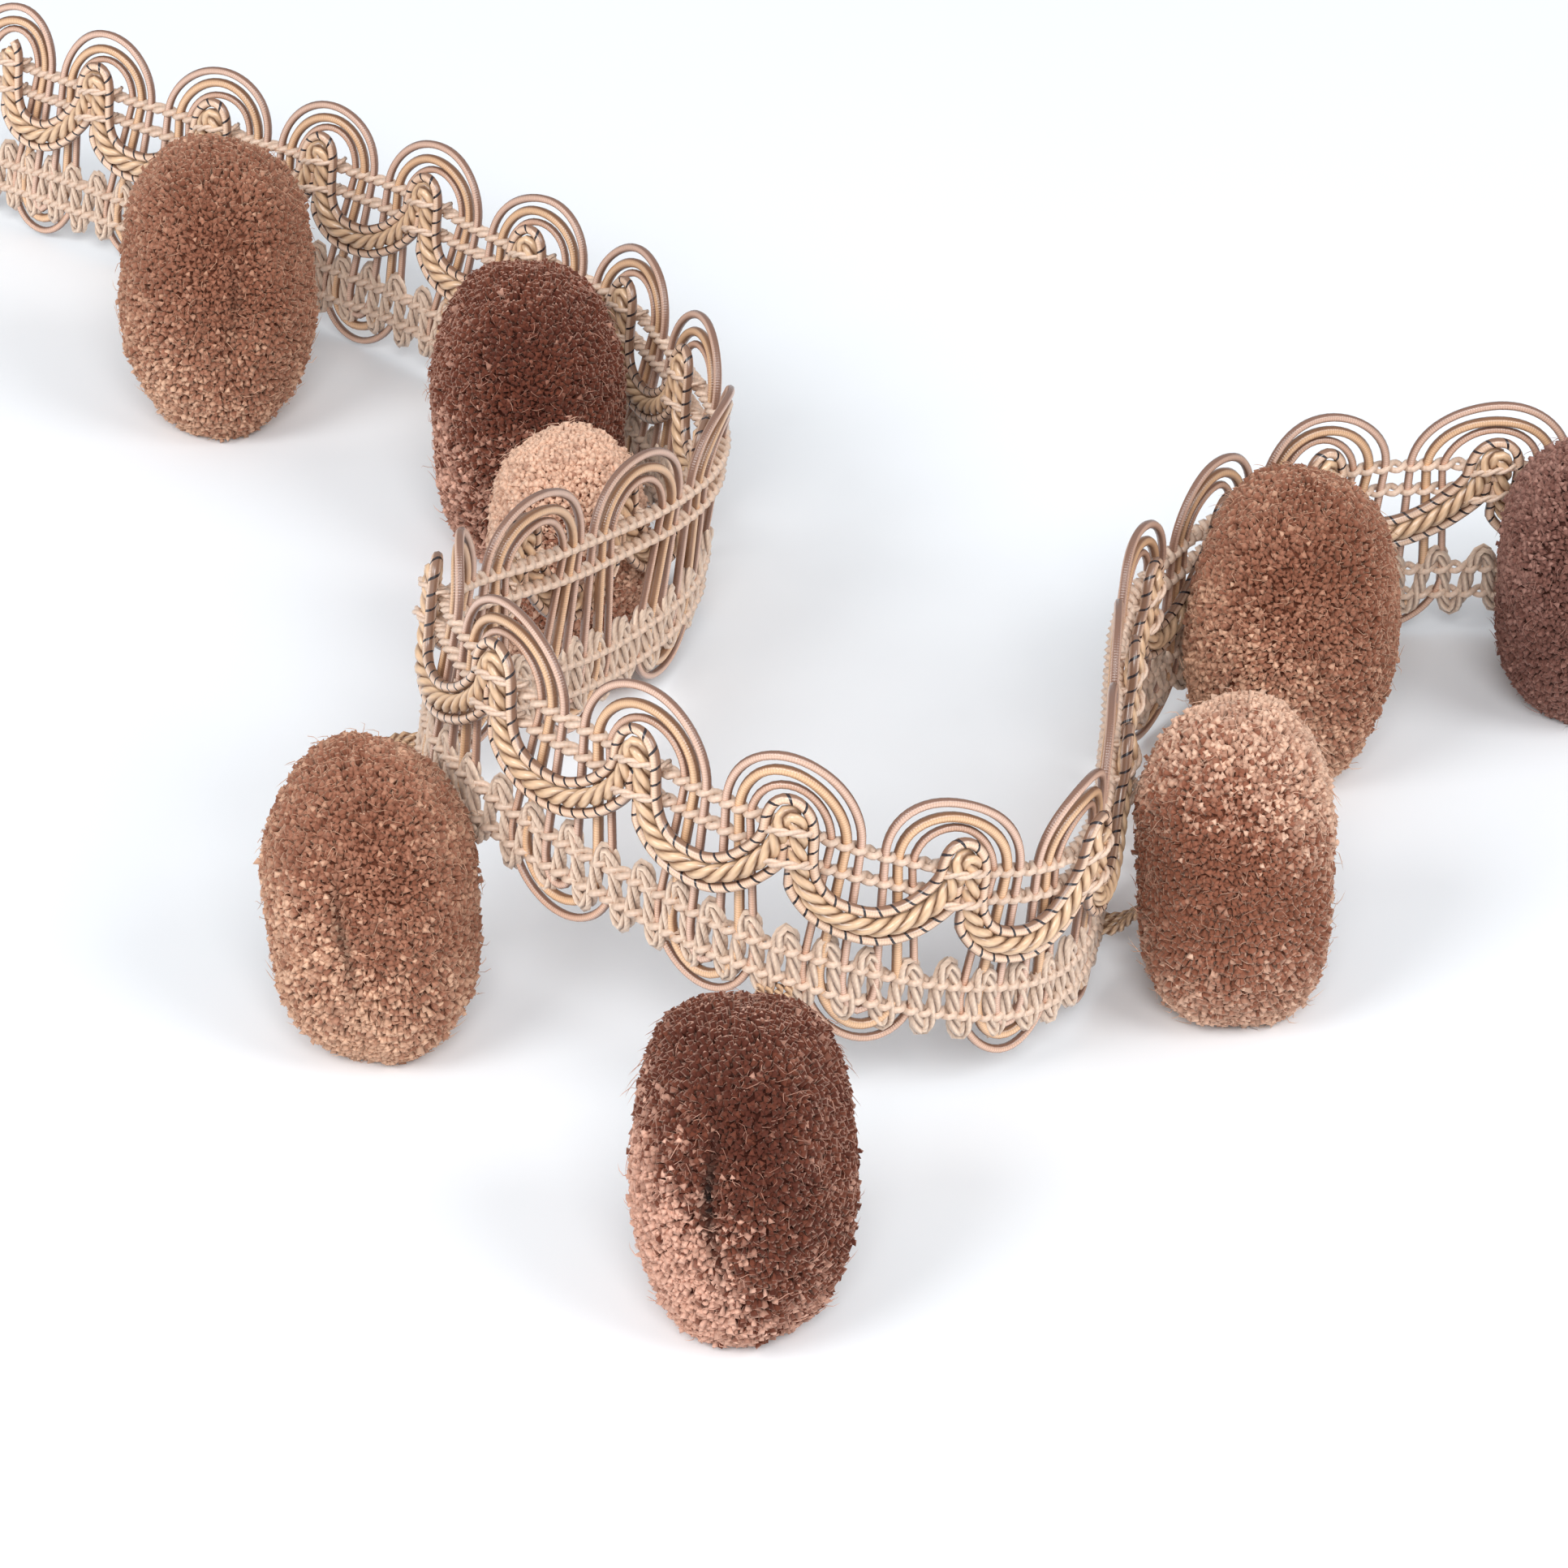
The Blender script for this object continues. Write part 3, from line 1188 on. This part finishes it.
def pile_skein(number, row, count, width, fibre):
    rng = np.random.default_rng(SEED + number)
    centre = centre_of(row)
    towards_tab = -tab_course(number, row)[1]
    directions = pile_directions(row, count, rng)
    surface = on_pile(number, row, directions, 0.0)
    outward = unit(surface)
    off_tab = np.arccos(np.clip(outward @ towards_tab, -1.0, 1.0))
    slit = slit_share(number, directions)
    parting = 1.0 - PARTING_DEPTH * np.exp(-((off_tab / PARTING_WIDTH) ** 2))
    parting = parting - SLIT_DEPTH * slit
    surface = surface * parting[:, None]
    tones = tones_of(number, outward, directions, rng)

    normals = unit(outward / np.array([1.0, 1.0, (row.half / row.radius) ** 2]))
    axis = unit(outward + normals + rng.normal(0.0, PILE_SPLAY, outward.shape))
    uneven = rng.normal(0.0, PILE_UNEVEN, count) * MM
    tips = centre + surface + axis * uneven[:, None]
    roots = tips - axis * PILE_ROOT_DEPTH * MM
    aside = unit(np.cross(axis, unit(rng.normal(0.0, 1.0, axis.shape))))
    over = np.cross(axis, aside)
    half = width / 2 * (PILE_THINNEST + PILE_THICKER * rng.random(count))[:, None]
    cut = axis * half * (PILE_SLANT * rng.uniform(-1.0, 1.0, count))[:, None]
    corners = []
    for k in range(3):
        turn = k * FULL_TURN / 3
        spread = half * (1.0 + PILE_UNEQUAL * rng.random(count))[:, None]
        outline = math.cos(turn) * aside + math.sin(turn) * over
        corners.append(tips + outline * spread + cut * math.cos(turn))
    points = np.stack([roots, *corners], axis=1)
    points[:, :, 2] = np.maximum(points[:, :, 2], PILE_FLOOR * MM)
    marks = np.zeros((count, 4, 3))
    marks[:, :, 0] = tones[:, None]
    marks[:, 1:, 1] = 1.0
    marks[:, :, 2] = 1.0 - slit[:, None]
    sides = np.array([(0, 2, 1), (0, 3, 2), (0, 1, 3), (1, 2, 3)])
    triangles = (np.arange(count) * 4)[:, None, None] + sides
    skein = Skein()
    skein.add(points.reshape(-1, 3), marks.reshape(-1, 3), [], triangles.reshape(-1, 3))
    add_core(skein, number, row, centre)
    add_fibres(skein, row, centre + surface, outward, tones, fibre, rng)
    return skein


def add_core(skein, number, row, centre):
    """Dark inside of the pompom, under the ends of its pile."""
    polar = np.linspace(0.0, math.pi, CORE_RINGS + 1)[1:-1]
    bearing = np.arange(CORE_SEGMENTS) * FULL_TURN / CORE_SEGMENTS
    tilt, round_it = np.meshgrid(polar, bearing, indexing="ij")
    directions = np.stack(
        [np.sin(tilt) * np.cos(round_it), np.sin(tilt) * np.sin(round_it), np.cos(tilt)], axis=2
    ).reshape(-1, 3)
    directions = np.concatenate([directions, [[0.0, 0.0, 1.0], [0.0, 0.0, -1.0]]])
    points = centre + on_pile(number, row, directions, PILE_CORE_DEPTH)
    points[:, 2] = np.maximum(points[:, 2], 2 * PILE_FLOOR * MM)
    marks = np.zeros((len(points), 3))
    marks[:, 2] = 1.0 - slit_share(number, directions)
    ring = np.arange(CORE_SEGMENTS)
    after = (ring + 1) % CORE_SEGMENTS
    starts = (np.arange(len(polar) - 1) * CORE_SEGMENTS)[:, None]
    below = starts + CORE_SEGMENTS
    quads = np.stack([starts + ring, below + ring, below + after, starts + after], axis=2)
    top = np.full(CORE_SEGMENTS, len(points) - 2)
    last = (len(polar) - 1) * CORE_SEGMENTS
    caps = np.concatenate(
        [
            np.stack([top, ring, after], axis=1),
            np.stack([top + 1, last + after, last + ring], axis=1),
        ]
    )
    skein.add(points, marks, quads.reshape(-1, 4), caps)


def add_fibres(skein, row, surface, outward, tones, fibre, rng):
    """Thin loose fibres that curl over the pile; a few stand out of it."""
    chosen = rng.choice(len(surface), FIBRES, replace=False)
    up = outward[chosen]
    way = unit(np.cross(up, rng.normal(0.0, 1.0, (FIBRES, 3))))
    curl = np.cross(up, way) * rng.choice([-1.0, 1.0], FIBRES)[:, None]
    reach = (fibre * (FIBRE_SHORTEST + (1 - FIBRE_SHORTEST) * rng.random(FIBRES)))[:, None]
    stray = FIBRE_LOW + FIBRE_STRAY * rng.random(FIBRES) ** FIBRE_STRAY_RARE
    lift = up * (FIBRE_LIFT * stray)[:, None] * MM
    drop = up * reach**2 / (row.radius * MM)
    end = surface[chosen]
    levels = [(end - up * FIBRE_ROOT * MM, 1.0)]
    for stretch in STRETCHES:
        run = (way * stretch.straight + curl * stretch.curl) * reach * stretch.length
        end = end + lift * stretch.lift + run - drop * stretch.drop
        levels.append((end, stretch.width))
    rings = []
    for level, width in levels[:-1]:
        for k in range(3):
            turn = k * FULL_TURN / 3
            outline = math.cos(turn) * curl + math.sin(turn) * up
            rings.append(level + outline * width * FIBRE_WIDTH * MM / 2)
    points = np.stack([*rings, end], axis=1)
    points[:, :, 2] = np.maximum(points[:, :, 2], PILE_FLOOR * MM)
    marks = np.ones(points.shape)
    marks[:, :, 0] = (tones[chosen] * (1 - FIBRE_PALE) + FIBRE_PALE)[:, None]
    firsts = np.arange(FIBRES)[:, None, None] * points.shape[1]
    caps = np.array([(0, 2, 1), (6, 7, 9), (7, 8, 9), (8, 6, 9)])
    bands = np.array([(0, 1, 4, 3), (1, 2, 5, 4), (2, 0, 3, 5)])
    quads = firsts + np.concatenate([bands, bands + 3])
    triangles = firsts + caps
    skein.add(
        points.reshape(-1, 3), marks.reshape(-1, 3), quads.reshape(-1, 4), triangles.reshape(-1, 3)
    )


# Operators


class TRIM_OT_gimp_cords(bpy.types.Operator):
    """Lay the three wrapped cords of the scalloped braid"""

    bl_idname = "trim.gimp_cords"
    bl_label = "Gimp cords"

    def execute(self, context):
        sizes, colours = context.scene.trim_sizes, context.scene.trim_colours
        joined = Skein()
        materials = []
        spans = []
        for number, cord in enumerate(CORDS):
            skein = gimp_cord_skein(cord, getattr(sizes, cord.name), number * CORD_SEED_STEP)
            spans.append(len(np.concatenate(skein.quads)))
            for points, marks, quads, triangles in zip(
                skein.points, skein.marks, skein.quads, skein.triangles
            ):
                joined.add(points, marks, quads, triangles)
            name = f"wrapped_viscose_gimp_{cord.name}"
            materials.append(wrapped_viscose(name, getattr(colours, cord.name), sizes.wrap))
        item = place("gimp_cords", joined, materials[0], "gimp_ground")
        for material in materials[1:]:
            item.data.materials.append(material)
        slots = [np.full(span, i) for i, span in enumerate(spans)]
        slots += [np.full(2 * CORD_SIDES, i) for i in range(len(CORDS))]
        item.data.polygons.foreach_set("material_index", np.concatenate(slots).astype(np.int32))
        return {"FINISHED"}


class TRIM_OT_binder_threads(bpy.types.Operator):
    """Weave the four rows of binder thread through the cords"""

    bl_idname = "trim.binder_threads"
    bl_label = "Binder threads"

    def execute(self, context):
        sizes, colours = context.scene.trim_sizes, context.scene.trim_colours
        material = sheer_thread("sheer_twisted_binder_thread", colours.binder)
        place("binder_threads", binder_skein(sizes.binder), material, "gimp_ground")
        return {"FINISHED"}


class TRIM_OT_crimped_yarn(bpy.types.Operator):
    """Lay the crimped yarn between the lower rows"""

    bl_idname = "trim.crimped_yarn"
    bl_label = "Crimped yarn"

    def execute(self, context):
        sizes, colours = context.scene.trim_sizes, context.scene.trim_colours
        material = spun_cotton("four_ply_crimped_cotton_yarn", colours.crimp)
        place("crimped_yarn", crimp_skein(sizes.crimp), material, "gimp_ground")
        flat = (BRAID_HEIGHT * MM, braid_length())
        return {"FINISHED"}


class TRIM_OT_scroll_rope(bpy.types.Operator):
    """Lay the scroll of twisted rope and its overcast satin cords on the front"""

    bl_idname = "trim.scroll_rope"
    bl_label = "Scroll rope"

    def execute(self, context):
        sizes, colours = context.scene.trim_sizes, context.scene.trim_colours
        rope, satin = scroll_skeins(sizes.strand, sizes.rope_pitch, sizes.flank)
        twisted = twisted_viscose("twisted_satin_viscose_rope", colours.rope)
        overcast = overcast_satin(
            "satin_cord_overcast_with_metallic_thread", colours.flank, colours.tick, sizes.tick
        )
        sheer = bpy.data.materials["sheer_twisted_binder_thread"]
        place("scroll_rope", rope, twisted, "scroll_cord")
        place("scroll_satin_cords", satin, overcast, "scroll_cord")
        place("scroll_stitches", waist_skein(sizes.binder), sheer, "scroll_cord")
        return {"FINISHED"}


class TRIM_OT_tabs(bpy.types.Operator):
    """Lay the plied cords that hang each pompom from the braid"""

    bl_idname = "trim.tabs"
    bl_label = "Tabs"

    def execute(self, context):
        sizes = context.scene.trim_sizes
        material = bpy.data.materials["twisted_satin_viscose_rope"]
        for number, row in enumerate(POMPOMS, 1):
            skein = tab_skein(number, row, sizes.tab_ply)
            place(f"tab_cords_{number:02d}", skein, material, f"tab_{number:02d}")
        return {"FINISHED"}


class TRIM_OT_pompoms(bpy.types.Operator):
    """Build the cut pile of each pompom"""

    bl_idname = "trim.pompoms"
    bl_label = "Pompoms"

    def execute(self, context):
        sizes, colours = context.scene.trim_sizes, context.scene.trim_colours
        piles = {}
        for number, row in enumerate(POMPOMS, 1):
            if row.yarn not in piles:
                shades = [getattr(colours, row.yarn + end) for end in ("_deep", "", "_pale")]
                piles[row.yarn] = cut_pile(f"cut_viscose_pile_{row.yarn}", *shades)
            skein = pile_skein(number, row, sizes.pile_count, sizes.pile_end, sizes.fibre)
            node = f"pompom_{number:02d}"
            place(f"pompom_pile_{number:02d}", skein, piles[row.yarn], node)
        return {"FINISHED"}


def soft_light(panel):
    """A large soft panel of light that looks at the trim."""
    light = bpy.data.lights.new(panel.name, "AREA")
    light.shape = "DISK"
    light.size = panel.size
    light.energy = panel.watts
    item = bpy.data.objects.new(panel.name, light)
    item.location = (panel.x, panel.y, panel.z)
    aim = Vector((0.0, 0.0, panel.aim_height)) - Vector(item.location)
    item.rotation_euler = aim.to_track_quat("-Z", "Y").to_euler()
    bpy.context.collection.objects.link(item)


class TRIM_OT_stage(bpy.types.Operator):
    """Set the pale table, the soft light and the camera"""

    bl_idname = "trim.stage"
    bl_label = "Stage"

    def execute(self, context):
        colours = context.scene.trim_colours
        mesh = bpy.data.meshes.new("table")
        far = TABLE_REACH
        corners = [(-far, -far, 0), (far, -far, 0), (far, far, 0), (-far, far, 0)]
        mesh.from_pydata(corners, [], [(0, 1, 2, 3)])
        table = bpy.data.objects.new("table", mesh)
        bpy.context.collection.objects.link(table)
        # Matte coated paper: white, with a faint cool tone and no texture at this distance
        paper, tree, shader = new_material("matte_white_paper", PAPER)
        grain = blotches(tree, PAPER_CLOUD_MM, detail=1.0)
        dull = opaque(darker(colours.floor, PAPER.dull))
        tint = blend(tree, grain, dull, opaque(colours.floor))
        tree.links.new(tint, shader.inputs["Base Color"])
        mesh.materials.append(paper)

        world = bpy.data.worlds.new("soft_white_room")
        world.use_nodes = True
        background = world.node_tree.nodes["Background"]
        background.inputs["Color"].default_value = opaque(linear(ROOM_COLOUR))
        background.inputs["Strength"].default_value = ROOM_STRENGTH
        context.scene.world = world
        for panel in PANELS:
            soft_light(panel)
        context.scene.view_settings.view_transform = "Standard"

        camera = bpy.data.cameras.new("photo_view")
        camera.lens = CAMERA_LENS
        camera.sensor_width = SENSOR_WIDTH
        item = bpy.data.objects.new("photo_view", camera)
        item.location = CAMERA_PLACE
        item.rotation_euler = (math.radians(CAMERA_PITCH), 0.0, 0.0)
        bpy.context.collection.objects.link(item)
        context.scene.camera = item
        return {"FINISHED"}


class TRIM_PT_panel(bpy.types.Panel):
    """Sizes, colours and pieces of the trim"""

    bl_idname = "TRIM_PT_panel"
    bl_label = "Pompom fringe trim"
    bl_space_type = "VIEW_3D"
    bl_region_type = "UI"
    bl_category = "Trim"

    def draw(self, context):
        for group in (context.scene.trim_sizes, context.scene.trim_colours):
            column = self.layout.column()
            for name in group.bl_rna.properties.keys():
                if name not in ("rna_type", "name"):
                    column.prop(group, name)
        for operator in PIECES:
            self.layout.operator(operator.bl_idname)


PIECES = (
    TRIM_OT_gimp_cords,
    TRIM_OT_binder_threads,
    TRIM_OT_crimped_yarn,
    TRIM_OT_scroll_rope,
    TRIM_OT_tabs,
    TRIM_OT_pompoms,
    TRIM_OT_stage,
)
CLASSES = (TrimSizes, TrimColours, *PIECES, TRIM_PT_panel)


def register():
    for item in CLASSES:
        bpy.utils.register_class(item)
    bpy.types.Scene.trim_sizes = bpy.props.PointerProperty(type=TrimSizes)
    bpy.types.Scene.trim_colours = bpy.props.PointerProperty(type=TrimColours)


def unregister():
    del bpy.types.Scene.trim_colours
    del bpy.types.Scene.trim_sizes
    for item in reversed(CLASSES):
        bpy.utils.unregister_class(item)


def main():
    register()
    bpy.ops.trim.gimp_cords()
    bpy.ops.trim.binder_threads()
    bpy.ops.trim.crimped_yarn()
    bpy.ops.trim.scroll_rope()
    bpy.ops.trim.tabs()
    bpy.ops.trim.pompoms()
    bpy.ops.trim.stage()


if __name__ == "__main__":
    main()
